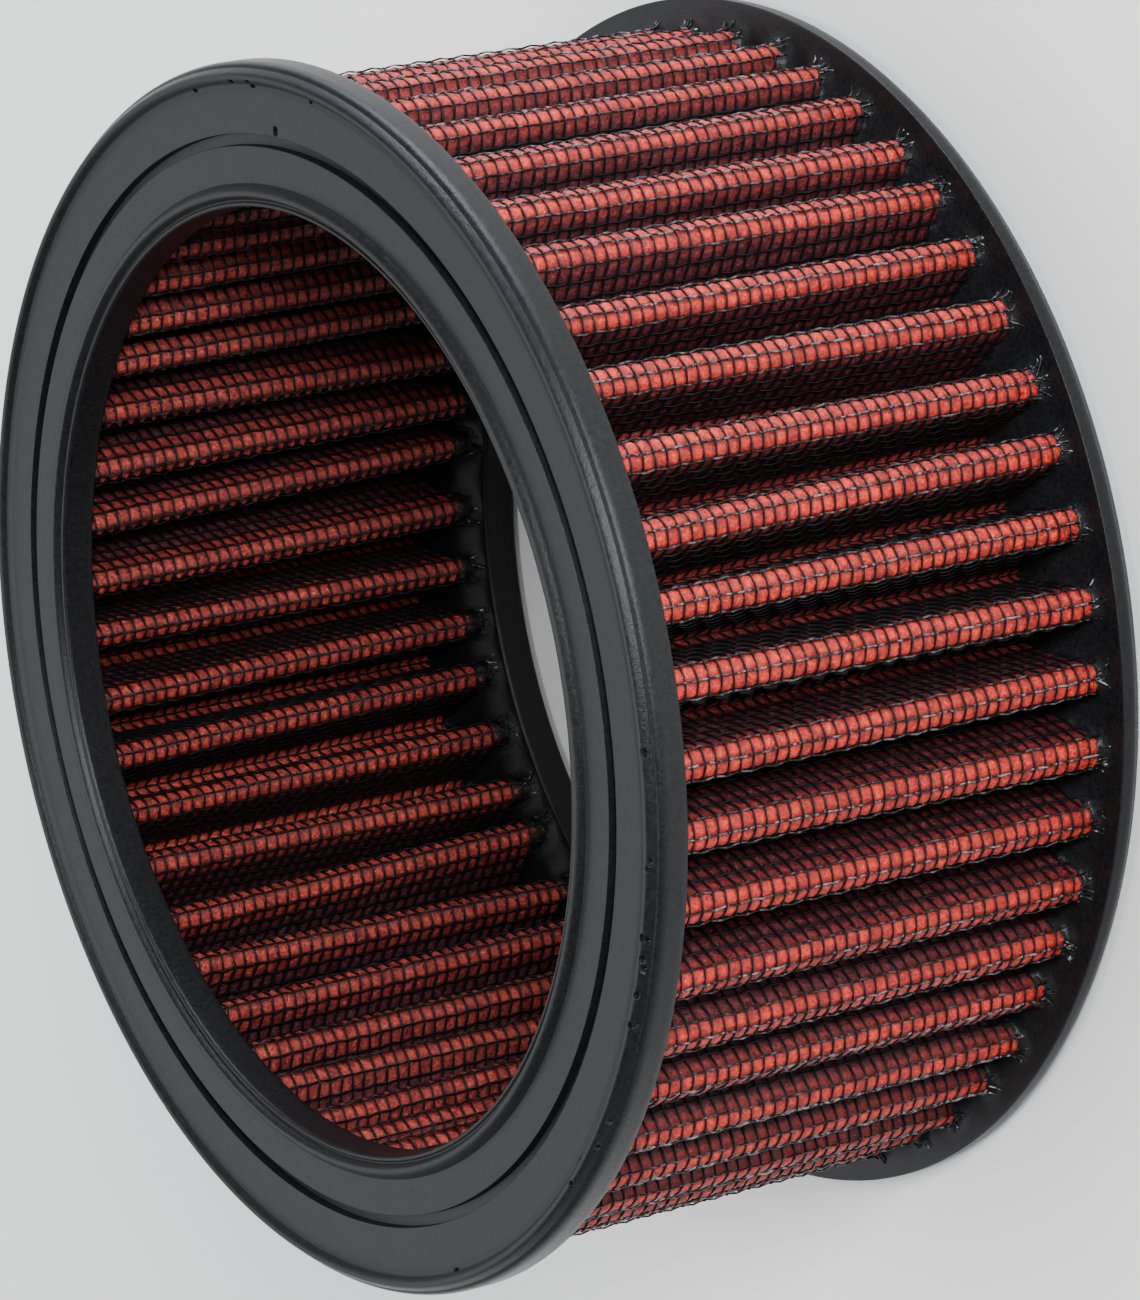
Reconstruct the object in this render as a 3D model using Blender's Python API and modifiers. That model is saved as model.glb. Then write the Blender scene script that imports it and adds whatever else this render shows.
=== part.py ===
"""Pleated air filter element for a motorcycle: a ring of oiled cotton gauze
between two wire screens, folded into deep pleats and potted at both ends in
moulded soft end caps.

The element stands on its rear cap. The origin is at the middle of its base,
and +Z is the ring's axis.
"""
import math

import bmesh
import bpy
from mathutils import Vector

# Whole element, in metres
OUTER_RADIUS = 0.0730        # rim of both end caps, 146 mm across
BORE_RADIUS = 0.05615        # bore through both end caps
HEIGHT = 0.0680              # crest of one cap's beads to the other's
BEAD_HEIGHT = 0.0009         # sealing beads stand this far above the lands
RING_STEPS = 48              # facets round each cap

# Pleat pack
PLEATS = 50
OUTER_FOLD_RADIUS = 0.0692   # middle of the stack at the outer folds
INNER_FOLD_RADIUS = 0.0579   # middle of the stack at the inner folds
OUTER_FOLD_WIDTH = 0.0027
INNER_FOLD_WIDTH = 0.0019
PACK_BOTTOM = 0.0030
PACK_TOP = 0.0650
SCREEN_THICKNESS = 0.00030
PLY_THICKNESS = 0.00010
PLIES = 4
LAYER_GAP = 0.00008          # between one layer of the stack and the next
POTTING_GAP = 0.00025        # between the pack and the pockets that hold it

# End caps, measured from the flat sealing land towards the pleats
LAND_Z = HEIGHT - BEAD_HEIGHT
FRONT_RIM_HEIGHT = 0.0038
FRONT_BORE_HEIGHT = 0.0039
REAR_RIM_HEIGHT = 0.0024
REAR_BORE_HEIGHT = 0.0042
SHOULDER_WIDTH = 0.0008      # rounding from the rim up to the outer bead
SHOULDER_HEIGHT = 0.0020
SHOULDER_DROP = 0.0001       # top of the rounding below the land
SHOULDER_START = 75          # degrees, where the rounding meets the bead's foot
SHOULDER_STEPS = 3
OUTER_BEAD_RADIUS = 0.0712   # crest of the bead along the rim
OUTER_BEAD_OUTSIDE = 0.0012  # crest to the bead's outer foot
OUTER_BEAD_INSIDE = 0.0022   # crest to the bead's inner foot
INNER_BEAD_RADIUS = 0.0580   # crest of the bead along the bore
INNER_BEAD_OUTSIDE = 0.0015
BEAD_STEPS = 3
GROOVE_RADIUS = 0.0640       # middle of the groove between the two lands
GROOVE_WIDTH = 0.0014
GROOVE_DEPTH = 0.0012
GROOVE_FLARE = 0.00015
BORE_LIP_WIDTH = 0.0010      # rounding from the inner bead into the bore
BORE_LIP_HEIGHT = 0.0023
BORE_LIP_RISE = 0.00072      # top of the rounding above the land
BORE_LIP_STEPS = 3
CUTTER_REACH = 0.0080        # pocket cutters end this far past a land, clear of the cap

# Directions on a cap's outline, in degrees
TO_RIM = 0
OUTWARD = 90
TO_BORE = 180

# Seam clip, a folded strip over one outer fold
CLIP_PLEAT = 12              # the fold that lies on the +Y axis
CLIP_THICKNESS = 0.00040
CLIP_GAP = 0.00020
CLIP_LEG = 0.0045
CLIP_END_GAP = 0.0004

MERGE_DISTANCE = 0.00001

# Linear colours
RUBBER_BLACK = (0.035, 0.037, 0.040)
WIRE_BLACK = (0.020, 0.020, 0.024)
OILED_RED = (0.42, 0.030, 0.022)
STRIP_GREY = (0.55, 0.56, 0.58)


def clear_scene():
    for thing in list(bpy.data.objects):
        bpy.data.objects.remove(thing, do_unlink=True)


def new_collection(name):
    collection = bpy.data.collections.new(name)
    bpy.context.scene.collection.children.link(collection)
    return collection


def new_material(name, colour, roughness, metallic):
    material = bpy.data.materials.new(name)
    material.use_nodes = True
    shader = material.node_tree.nodes["Principled BSDF"]
    shader.inputs["Base Color"].default_value = (*colour, 1.0)
    shader.inputs["Roughness"].default_value = roughness
    shader.inputs["Metallic"].default_value = metallic
    return material


def new_object(name, mesh, collection, material=None):
    thing = bpy.data.objects.new(name, mesh)
    collection.objects.link(thing)
    if material:
        mesh.materials.append(material)
    return thing


def polar(radius, angle, sideways=0.0):
    """A point at a radius along an angle, moved sideways at right angles."""
    along = Vector((math.cos(angle), math.sin(angle)))
    across = Vector((-math.sin(angle), math.cos(angle)))
    return along * radius + across * sideways


def fold_points(pleat):
    """The four corners of one pleat: its outer fold, then its inner fold."""
    pitch = math.tau / PLEATS
    outer = (pleat + 0.5) * pitch
    inner = outer + pitch / 2
    return [
        polar(OUTER_FOLD_RADIUS, outer, -OUTER_FOLD_WIDTH / 2),
        polar(OUTER_FOLD_RADIUS, outer, OUTER_FOLD_WIDTH / 2),
        polar(INNER_FOLD_RADIUS, inner, -INNER_FOLD_WIDTH / 2),
        polar(INNER_FOLD_RADIUS, inner, INNER_FOLD_WIDTH / 2),
    ]


def outward_normal(start, end):
    """Right-hand normal of a step, which points away from the axis."""
    step = (end - start).normalized()
    return Vector((step.y, -step.x))


def offset_corner(before, corner, after, distance):
    """Move a corner so that both of its sides shift outward by a distance."""
    first = outward_normal(before, corner)
    second = outward_normal(corner, after)
    return corner + (first + second) * (distance / (1.0 + first.dot(second)))


def pleat_line(distance):
    """The closed zigzag round the ring, shifted outward from the stack's middle."""
    corners = []
    for pleat in range(PLEATS):
        corners.extend(fold_points(pleat))
    count = len(corners)
    line = []
    for index, corner in enumerate(corners):
        before = corners[index - 1]
        after = corners[(index + 1) % count]
        line.append(offset_corner(before, corner, after, distance))
    return line


def upright_wall(name, line, bottom, top, closed):
    """An open wall, one face for each side of the line."""
    sheet = bmesh.new()
    feet = [sheet.verts.new((point.x, point.y, bottom)) for point in line]
    pairs = list(zip(feet, feet[1:]))
    if closed:
        pairs.append((feet[-1], feet[0]))
    edges = [sheet.edges.new(pair) for pair in pairs]
    raised = bmesh.ops.extrude_edge_only(sheet, edges=edges)["geom"]
    lifted = [item for item in raised if isinstance(item, bmesh.types.BMVert)]
    bmesh.ops.translate(sheet, verts=lifted, vec=(0.0, 0.0, top - bottom))
    bmesh.ops.recalc_face_normals(sheet, faces=sheet.faces)
    mesh = bpy.data.meshes.new(name)
    sheet.to_mesh(mesh)
    sheet.free()
    return mesh


def add_solidify(thing, thickness):
    solidify = thing.modifiers.new("thickness", "SOLIDIFY")
    solidify.thickness = thickness
    solidify.offset = 0.0
    solidify.use_even_offset = True
    solidify.use_rim = True


def layer_depths():
    """Name, thickness and place of each layer, from the outside inwards."""
    layers = [("outer_wire_screen", SCREEN_THICKNESS)]
    layers += [(f"gauze_ply_{ply}", PLY_THICKNESS) for ply in range(1, PLIES + 1)]
    layers.append(("inner_wire_screen", SCREEN_THICKNESS))
    stack = sum(thickness for _, thickness in layers) + LAYER_GAP * (len(layers) - 1)
    surface = stack / 2
    placed = []
    for name, thickness in layers:
        placed.append((name, thickness, surface - thickness / 2))
        surface -= thickness + LAYER_GAP
    return placed, stack


def make_pack(collection, materials):
    layers, stack = layer_depths()
    for name, thickness, middle in layers:
        mesh = upright_wall(name, pleat_line(middle), PACK_BOTTOM, PACK_TOP, closed=True)
        kind = "gauze" if name.startswith("gauze") else "screen"
        layer = new_object(name, mesh, collection, materials[kind])
        add_solidify(layer, thickness)
    return stack


def make_clip(collection, material, stack):
    """A strip folded over one outer fold, with a leg down each of its walls."""
    distance = stack / 2 + CLIP_GAP + CLIP_THICKNESS / 2
    line = pleat_line(distance)
    start = CLIP_PLEAT * len(fold_points(CLIP_PLEAT))
    left_wall, left, right, right_wall = line[start - 1:start + 3]
    left_end = left + (left_wall - left).normalized() * CLIP_LEG
    right_end = right + (right_wall - right).normalized() * CLIP_LEG
    bottom = BEAD_HEIGHT + REAR_BORE_HEIGHT + CLIP_END_GAP
    top = LAND_Z - FRONT_BORE_HEIGHT - CLIP_END_GAP
    strip = [left_end, left, right, right_end]
    mesh = upright_wall("seam_clip", strip, bottom, top, closed=False)
    clip = new_object("seam_clip", mesh, collection, material)
    add_solidify(clip, CLIP_THICKNESS)


def ease(share):
    """0 to 1 with a level start and a level end."""
    return (1.0 - math.cos(math.pi * share)) / 2.0


def bead(crest, foot, steps):
    """Points on a bead's slope, from its crest to its foot, crest included."""
    points = []
    for step in range(steps):
        share = step / steps
        points.append((crest + (foot - crest) * share, BEAD_HEIGHT * (1.0 - ease(share))))
    return points


def arc(centre, width, height, first, last, steps):
    """Points on an elliptical arc between two directions, in degrees."""
    points = []
    for step in range(steps + 1):
        angle = math.radians(first + (last - first) * step / steps)
        across = centre[0] + width * math.cos(angle)
        up = centre[1] + height * math.sin(angle)
        points.append((across, up))
    return points


def cap_section(rim_height, bore_height, slope_radius):
    """Cap outline as radius and height over the land, from the bore outwards
    over the sealing face, down the rim and back along the potted face."""
    half_groove = GROOVE_WIDTH / 2
    lip_centre = (BORE_RADIUS + BORE_LIP_WIDTH, BORE_LIP_RISE - BORE_LIP_HEIGHT)
    lip = (lip_centre, BORE_LIP_WIDTH, BORE_LIP_HEIGHT)
    shoulder_centre = (OUTER_RADIUS - SHOULDER_WIDTH, -SHOULDER_DROP - SHOULDER_HEIGHT)
    shoulder = (shoulder_centre, SHOULDER_WIDTH, SHOULDER_HEIGHT)
    outline = [(BORE_RADIUS, -bore_height)]
    outline += arc(*lip, TO_BORE, OUTWARD, BORE_LIP_STEPS)
    outline += bead(INNER_BEAD_RADIUS, INNER_BEAD_RADIUS + INNER_BEAD_OUTSIDE, BEAD_STEPS)
    outline.append((INNER_BEAD_RADIUS + INNER_BEAD_OUTSIDE, 0.0))
    outline.append((GROOVE_RADIUS - half_groove - GROOVE_FLARE, 0.0))
    outline.append((GROOVE_RADIUS - half_groove, -GROOVE_DEPTH))
    outline.append((GROOVE_RADIUS + half_groove, -GROOVE_DEPTH))
    outline.append((GROOVE_RADIUS + half_groove + GROOVE_FLARE, 0.0))
    outline.append((OUTER_BEAD_RADIUS - OUTER_BEAD_INSIDE, 0.0))
    rising = bead(OUTER_BEAD_RADIUS, OUTER_BEAD_RADIUS - OUTER_BEAD_INSIDE, BEAD_STEPS)
    outline += rising[::-1]
    falling = bead(OUTER_BEAD_RADIUS, OUTER_BEAD_RADIUS + OUTER_BEAD_OUTSIDE, BEAD_STEPS)
    outline += falling[1:]
    outline += arc(*shoulder, SHOULDER_START, TO_RIM, SHOULDER_STEPS)
    outline.append((OUTER_RADIUS, -rim_height))
    outline.append((slope_radius, -rim_height))
    return outline


def turned_ring(name, outline, collection, material):
    """A closed outline at +X, turned round the Z axis."""
    count = len(outline)
    corners = [(radius, 0.0, height) for radius, height in outline]
    edges = [(index, (index + 1) % count) for index in range(count)]
    mesh = bpy.data.meshes.new(name)
    mesh.from_pydata(corners, edges, [])
    ring = new_object(name, mesh, collection, material)
    screw = ring.modifiers.new("turn", "SCREW")
    screw.axis = "Z"
    screw.angle = math.tau
    screw.steps = RING_STEPS
    screw.render_steps = RING_STEPS
    screw.use_merge_vertices = True
    screw.merge_threshold = MERGE_DISTANCE
    screw.use_smooth_shade = True
    return ring


def pack_cutter(name, stack, bottom, top, cutters):
    """The space that the pack and its clearance take up in a cap."""
    mesh = upright_wall(name, pleat_line(0.0), bottom, top, closed=True)
    cutter = new_object(name, mesh, cutters)
    add_solidify(cutter, stack + 2 * POTTING_GAP)
    cutter.hide_render = True
    cutter.display_type = "WIRE"
    return cutter


def cut_pocket(cap, cutter):
    boolean = cap.modifiers.new("pocket", "BOOLEAN")
    boolean.operation = "DIFFERENCE"
    boolean.solver = "EXACT"
    boolean.object = cutter


def make_front_cap(collection, cutters, material, stack):
    section = cap_section(FRONT_RIM_HEIGHT, FRONT_BORE_HEIGHT, OUTER_FOLD_RADIUS)
    outline = [(radius, LAND_Z + height) for radius, height in section]
    cap = turned_ring("front_end_cap", outline, collection, material)
    top = PACK_TOP + POTTING_GAP
    bottom = LAND_Z - CUTTER_REACH
    cut_pocket(cap, pack_cutter("front_pocket", stack, bottom, top, cutters))


def make_rear_cap(collection, cutters, material, stack):
    section = cap_section(REAR_RIM_HEIGHT, REAR_BORE_HEIGHT, OUTER_FOLD_RADIUS + stack)
    outline = [(radius, BEAD_HEIGHT - height) for radius, height in section]
    cap = turned_ring("rear_end_cap", outline[::-1], collection, material)
    bottom = PACK_BOTTOM - POTTING_GAP
    top = BEAD_HEIGHT + CUTTER_REACH
    cut_pocket(cap, pack_cutter("rear_pocket", stack, bottom, top, cutters))


def main():
    clear_scene()
    collection = new_collection("air_filter")
    cutters = new_collection("cutters")
    materials = {
        "cap": new_material("cap_rubber", RUBBER_BLACK, roughness=0.42, metallic=0.0),
        "screen": new_material("black_wire", WIRE_BLACK, roughness=0.38, metallic=0.6),
        "gauze": new_material("oiled_gauze", OILED_RED, roughness=0.75, metallic=0.0),
        "clip": new_material("clip_metal", STRIP_GREY, roughness=0.35, metallic=1.0),
    }
    stack = make_pack(collection, materials)
    make_clip(collection, materials["clip"], stack)
    make_front_cap(collection, cutters, materials["cap"], stack)
    make_rear_cap(collection, cutters, materials["cap"], stack)


main()
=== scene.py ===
"""Looks of the pleated air filter element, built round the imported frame.

The element is a ring of red oiled cotton gauze between two woven wire
screens, folded into pleats and potted at both ends in satin black caps.
Everything is in metres, with +Z along the ring's axis.
"""
import math
from collections import namedtuple

import bpy
import numpy as np
from mathutils import Matrix, Vector


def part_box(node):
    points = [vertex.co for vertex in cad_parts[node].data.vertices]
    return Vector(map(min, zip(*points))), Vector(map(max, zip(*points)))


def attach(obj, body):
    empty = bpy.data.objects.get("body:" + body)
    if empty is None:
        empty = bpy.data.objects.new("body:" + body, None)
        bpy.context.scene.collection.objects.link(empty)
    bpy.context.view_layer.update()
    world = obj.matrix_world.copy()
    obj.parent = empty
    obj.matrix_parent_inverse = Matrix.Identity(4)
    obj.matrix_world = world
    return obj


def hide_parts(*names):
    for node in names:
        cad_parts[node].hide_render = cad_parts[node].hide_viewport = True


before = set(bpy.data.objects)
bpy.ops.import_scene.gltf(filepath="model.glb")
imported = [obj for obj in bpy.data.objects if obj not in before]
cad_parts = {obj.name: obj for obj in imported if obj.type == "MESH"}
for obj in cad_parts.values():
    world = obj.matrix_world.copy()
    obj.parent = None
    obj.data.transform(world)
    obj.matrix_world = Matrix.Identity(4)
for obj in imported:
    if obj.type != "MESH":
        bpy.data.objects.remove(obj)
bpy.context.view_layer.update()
MM = 0.001
BODY = "root"
SEED = 11

# A screen and the gauze under it share a weave's seed, so that the gauze puffs out
# between that screen's own wires
OUTER_WEAVE = SEED + 1
INNER_WEAVE = SEED + 2

# Which face of the pleated stack a layer is on
OUTSIDE = 1
INSIDE = -1

# Sizes read from the frame
_, cap_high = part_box("front_end_cap")
pack_low, pack_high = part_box("outer_wire_screen")
OUTER_RADIUS = cap_high[0]
HEIGHT = cap_high[2]
PACK_BOTTOM = pack_low[2]
PACK_TOP = pack_high[2]

# Pleats: the zigzag that every layer follows
PLEATS = 50
OUTER_FOLD_RADIUS = 69.2 * MM
INNER_FOLD_RADIUS = 57.9 * MM
OUTER_FOLD_WIDTH = 2.7 * MM
INNER_FOLD_WIDTH = 1.9 * MM
FOLD_ROUNDING = 1.05 * MM        # radius of the stack's middle at each fold corner
SMALLEST_ROUNDING = 0.32 * MM
LARGEST_CUT = 0.47               # most of a side that the arc at one end may take up
ARC_STEPS = 6
DIRECTION_REACH = 0.012          # how far each way, in pleats, a direction is read over
STACK_HALF = 0.70 * MM           # half the thickness of the whole stack
CLIP_PLEAT = 12                  # the outer fold that the seam clip closes

# Layers of the stack, measured outward from its middle
SCREEN_DEPTH = 0.58 * MM
WIRE_RADIUS = 0.130 * MM
WEAVE_HEIGHT = 0.130 * MM        # how far a wire swings in and out
CHORD = 0.90                     # how straight a hoop runs from one upright to the next
GAUZE_FRONT = 0.32 * MM          # cloth pressed down under the wires
GAUZE_PUFF = 0.24 * MM           # cloth risen in the middle of a cell
GAUZE_BACK = 0.08 * MM
PUFF_SQUARENESS = 2.5            # how far the puff keeps its height towards the wires
LEAST_FULLNESS = 0.65            # share of the puff that every cell has
FULLNESS_RANGE = 0.5             # and what chance adds to it
MIDDLE_PLY_FRONT = 0.06 * MM
MIDDLE_PLY_BACK = 0.01 * MM

# Wire cloth
CELLS_PER_PLEAT = 12
CELLS = PLEATS * CELLS_PER_PLEAT
HOOP_PITCH = 1.61 * MM
HOOPS = int((PACK_TOP - PACK_BOTTOM) / HOOP_PITCH)
HOOP_START = PACK_BOTTOM + 0.8 * MM
HOOP_CORNER = 0.15               # share of a cell over which a hoop bends at an upright
HOOP_WANDER = 0.10 * MM          # slow unevenness of a hoop's height
HOOP_ZIGZAG = 0.055 * MM         # up and down from one upright to the next
UPRIGHT_DRIFT = 0.22             # unevenness of the uprights' places, in cells
UPRIGHT_LEAN = 0.05              # and of each one from hoop to hoop, in cells
GLINT_REACH = 0.09              # how far from a fold, in pleats, the uprights get painted highlights (glints)

rng = np.random.default_rng(SEED)


# ---------------------------------------------------------------- meshes

def mesh_object(name, points, polygon_groups):
    """A smooth-shaded object from points and groups of polygons, each group's
    polygons with the same number of corners."""
    mesh = bpy.data.meshes.new(name)
    points = np.ascontiguousarray(points, dtype=np.float32).reshape(-1, 3)
    corners = np.concatenate([group.ravel() for group in polygon_groups])
    corners = corners.astype(np.int32)
    lengths = np.concatenate([
        np.full(len(group), group.shape[1]) for group in polygon_groups
    ])
    starts = np.concatenate([[0], np.cumsum(lengths)[:-1]]).astype(np.int32)
    mesh.vertices.add(len(points))
    mesh.vertices.foreach_set("co", points.ravel())
    mesh.loops.add(len(corners))
    mesh.loops.foreach_set("vertex_index", corners)
    mesh.polygons.add(len(lengths))
    mesh.polygons.foreach_set("loop_start", starts)
    mesh.polygons.foreach_set("use_smooth", np.full(len(lengths), True))
    mesh.update(calc_edges=True)
    thing = bpy.data.objects.new(name, mesh)
    bpy.context.scene.collection.objects.link(thing)
    return thing


def point_attribute(thing, name, values):
    """Store three numbers on each point, for the material to read."""
    values = np.ascontiguousarray(values, dtype=np.float32).reshape(-1, 3)
    layer = thing.data.attributes.new(name, "FLOAT_VECTOR", "POINT")
    layer.data.foreach_set("vector", values.ravel())


def grid_quads(rows, columns, wrap_rows=False, wrap_columns=False, first=0):
    """Quads over a rows x columns grid of points numbered row by row."""
    row_count = rows if wrap_rows else rows - 1
    column_count = columns if wrap_columns else columns - 1
    row = np.arange(row_count)[:, None]
    column = np.arange(column_count)[None, :]
    next_row = (row + 1) % rows
    next_column = (column + 1) % columns
    quads = np.stack([
        row * columns + column,
        row * columns + next_column,
        next_row * columns + next_column,
        next_row * columns + column,
    ], axis=-1)
    return quads.reshape(-1, 4) + first


def finish_piece(thing, slot, material, *nodes):
    """Give a piece its material and its body, and hide the CAD nodes it stands for."""
    thing.data.materials.clear()
    thing.data.materials.append(material)
    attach(thing, BODY)
    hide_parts(*nodes)


# ---------------------------------------------------------------- pleats

def unit(vectors):
    """Each vector at length 1."""
    return vectors / np.linalg.norm(vectors, axis=-1, keepdims=True)


def turned(vectors, sine, cosine):
    """Flat vectors turned by the angle with this sine and cosine."""
    x = vectors[..., 0] * cosine - vectors[..., 1] * sine
    y = vectors[..., 0] * sine + vectors[..., 1] * cosine
    return np.stack([x, y], axis=-1)


def pleat_wobble():
    """Small unevenness of each fold, kept off the fold that the clip closes."""
    calm = np.ones(PLEATS)
    calm[CLIP_PLEAT] = 0.0
    return {
        "outer_angle": np.radians(0.28) * rng.standard_normal(PLEATS) * calm,
        "inner_angle": np.radians(0.40) * rng.standard_normal(PLEATS),
        "outer_radius": 0.18 * MM * rng.standard_normal(PLEATS) * calm,
        "inner_radius": 0.10 * MM * rng.random(PLEATS),
        "outer_lean": np.radians(0.22) * rng.standard_normal(PLEATS) * calm,
        "inner_lean": np.radians(0.50) * rng.standard_normal(PLEATS),
        "outer_width": 0.14 * MM * rng.standard_normal(PLEATS) * calm,
    }


WOBBLE = pleat_wobble()


def fold_corners(end):
    """Four corners for each pleat, at the pack's bottom (-1) or its top (+1)."""
    pitch = math.tau / PLEATS
    number = np.arange(PLEATS)
    outer = (number + 0.5) * pitch + WOBBLE["outer_angle"] + end * WOBBLE["outer_lean"]
    inner = (number + 1.0) * pitch + WOBBLE["inner_angle"] + end * WOBBLE["inner_lean"]
    outer_radius = OUTER_FOLD_RADIUS + np.clip(WOBBLE["outer_radius"], -0.4 * MM, 0.3 * MM)
    inner_radius = INNER_FOLD_RADIUS + WOBBLE["inner_radius"]
    outer_half = (OUTER_FOLD_WIDTH + WOBBLE["outer_width"]) / 2
    inner_half = np.full(PLEATS, INNER_FOLD_WIDTH / 2)
    corners = np.empty((PLEATS, 4, 2))
    places = [
        (0, outer, outer_radius, -outer_half),
        (1, outer, outer_radius, outer_half),
        (2, inner, inner_radius, -inner_half),
        (3, inner, inner_radius, inner_half),
    ]
    for index, angle, radius, sideways in places:
        corners[:, index, 0] = radius * np.cos(angle) - sideways * np.sin(angle)
        corners[:, index, 1] = radius * np.sin(angle) + sideways * np.cos(angle)
    return corners.reshape(-1, 2)


def offset_corners(corners, depth):
    """The zigzag with every side shifted outward by a depth."""
    along = unit(np.roll(corners, -1, axis=0) - corners)
    outward = np.stack([along[:, 1], -along[:, 0]], axis=-1)
    before = np.roll(outward, 1, axis=0)
    share = depth / (1.0 + (before * outward).sum(axis=1, keepdims=True))
    return corners + (before + outward) * share


def rounded_path(corners, depth):
    """Points round the ring with an arc at each corner, how far along the pleats
    each point lies, and the path's length. A place along the pleats is a whole
    number at an outer fold and a half at an inner one."""
    side = np.roll(corners, -1, axis=0) - corners
    length = np.linalg.norm(side, axis=1)
    leaving = unit(side)
    arriving = np.roll(leaving, 1, axis=0)
    cross = arriving[:, 0] * leaving[:, 1] - arriving[:, 1] * leaving[:, 0]
    turn = np.arctan2(cross, (arriving * leaving).sum(axis=1))
    radius = np.maximum(FOLD_ROUNDING + np.sign(turn) * depth, SMALLEST_ROUNDING)
    fold_length = np.minimum(length, np.roll(length, 1))
    cut = np.minimum(radius * np.tan(np.abs(turn) / 2), LARGEST_CUT * fold_length)
    radius = cut / np.tan(np.abs(turn) / 2)
    start = corners - arriving * cut[:, None]
    to_left = np.stack([-arriving[:, 1], arriving[:, 0]], axis=-1)
    centre = start + to_left * (np.sign(turn) * radius)[:, None]
    arc = []
    for step in range(ARC_STEPS + 1):
        angle = turn * step / ARC_STEPS
        arc.append(centre + turned(start - centre, np.sin(angle), np.cos(angle)))
    arc = np.stack(arc, axis=1).reshape(PLEATS, 4, ARC_STEPS + 1, 2)
    middles = corners.reshape(PLEATS, 4, 2)
    outer_middle = (middles[:, 0] + middles[:, 1])[:, None] / 2
    inner_middle = (middles[:, 2] + middles[:, 3])[:, None] / 2
    next_first = np.roll(arc[:, 0], -1, axis=0)
    path = np.concatenate([
        outer_middle, arc[:, 1], arc[:, 2], inner_middle, arc[:, 3], next_first,
    ], axis=1).reshape(-1, 2)
    walls = 2 * PLEATS
    steps = np.linalg.norm(np.roll(path, -1, axis=0) - path, axis=1).reshape(walls, -1)
    run = np.cumsum(steps, axis=1)
    share = np.concatenate([np.zeros((walls, 1)), run[:, :-1]], axis=1) / run[:, -1:]
    place = (np.arange(walls)[:, None] + share).ravel() / 2
    return path, place, steps.sum()


class Layer:
    """One surface of the pleat pack, at a depth outward from its middle."""

    def __init__(self, depth):
        self.tables = []
        for end in (-1, 1):
            corners = offset_corners(fold_corners(end), depth)
            path, place, length = rounded_path(corners, depth)
            closed = np.concatenate([path, path[:1]])
            self.tables.append((np.append(place, PLEATS), closed))
            self.length = length

    def flat_point(self, place, share):
        """Points in plan, a share of the way from the pack's bottom to its top."""
        place = np.mod(place, PLEATS)
        (low_place, low), (high_place, high) = self.tables
        ends = []
        for table_place, table in ((low_place, low), (high_place, high)):
            x = np.interp(place.ravel(), table_place, table[:, 0]).reshape(place.shape)
            y = np.interp(place.ravel(), table_place, table[:, 1]).reshape(place.shape)
            ends.append(np.stack([x, y], axis=-1))
        return ends[0] + (ends[1] - ends[0]) * share[..., None]

    def at(self, place, height):
        """Points, outward normals and directions round the ring."""
        place, height = np.broadcast_arrays(place, height)
        share = (height - PACK_BOTTOM) / (PACK_TOP - PACK_BOTTOM)
        flat = self.flat_point(place, share)
        ahead = self.flat_point(place + DIRECTION_REACH, share)
        behind = self.flat_point(place - DIRECTION_REACH, share)
        along = unit(ahead - behind)
        point = np.concatenate([flat, height[..., None]], axis=-1)
        zero = np.zeros_like(height)
        outward = np.stack([along[..., 1], -along[..., 0], zero], axis=-1)
        round_ring = np.stack([along[..., 0], along[..., 1], zero], axis=-1)
        return point, outward, round_ring


# ---------------------------------------------------------------- wire cloth

def slow_noise(place, waves, seed):
    """A smooth wave sum from -1 to 1 that closes round the ring."""
    random = np.random.default_rng(seed)
    total = np.zeros(np.shape(place))
    for wave in waves:
        total += np.sin(math.tau * wave * place + random.random() * math.tau)
    return total / len(waves)


def wire_place(column, seed):
    """Where an upright wire lies along the pleats, a little unevenly."""
    drift = UPRIGHT_DRIFT * slow_noise(column / CELLS, (3, 7, 13, 29), seed)
    return (column + drift) / CELLS_PER_PLEAT


def hoop_height(row, column, seed):
    """Height of a hoop wire, with the zigzag that the weave gives it."""
    wander = HOOP_WANDER * slow_noise(column / CELLS + 0.37 * row, (2, 5, 11, 41), seed)
    zigzag = HOOP_ZIGZAG * np.cos(math.pi * column) * np.cos(0.4 * row)
    return HOOP_START + row * HOOP_PITCH + wander + zigzag


def straightened(layer, column, height_at, seed):
    """A layer's points, drawn part of the way to the straight line between the
    two uprights on either side, and the sag that this takes off the curve."""
    before = np.floor(column)
    share = (column - before)[..., None]
    point, outward, round_ring = layer.at(wire_place(column, seed), height_at(column))
    start, _, _ = layer.at(wire_place(before, seed), height_at(before))
    end, _, _ = layer.at(wire_place(before + 1, seed), height_at(before + 1))
    shift = (start + (end - start) * share - point) * CHORD
    return point + shift, outward, round_ring, -(shift * outward).sum(-1)


def tube_rings(centre, side_a, side_b, radius, sides):
    """A ring of points round each centre, in the plane of its two side vectors."""
    angle = math.tau * (np.arange(sides) + 0.5) / sides
    cosine = np.cos(angle)[:, None]
    sine = np.sin(angle)[:, None]
    ring = side_a[..., None, :] * cosine + side_b[..., None, :] * sine
    return centre[..., None, :] + radius * ring


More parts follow.
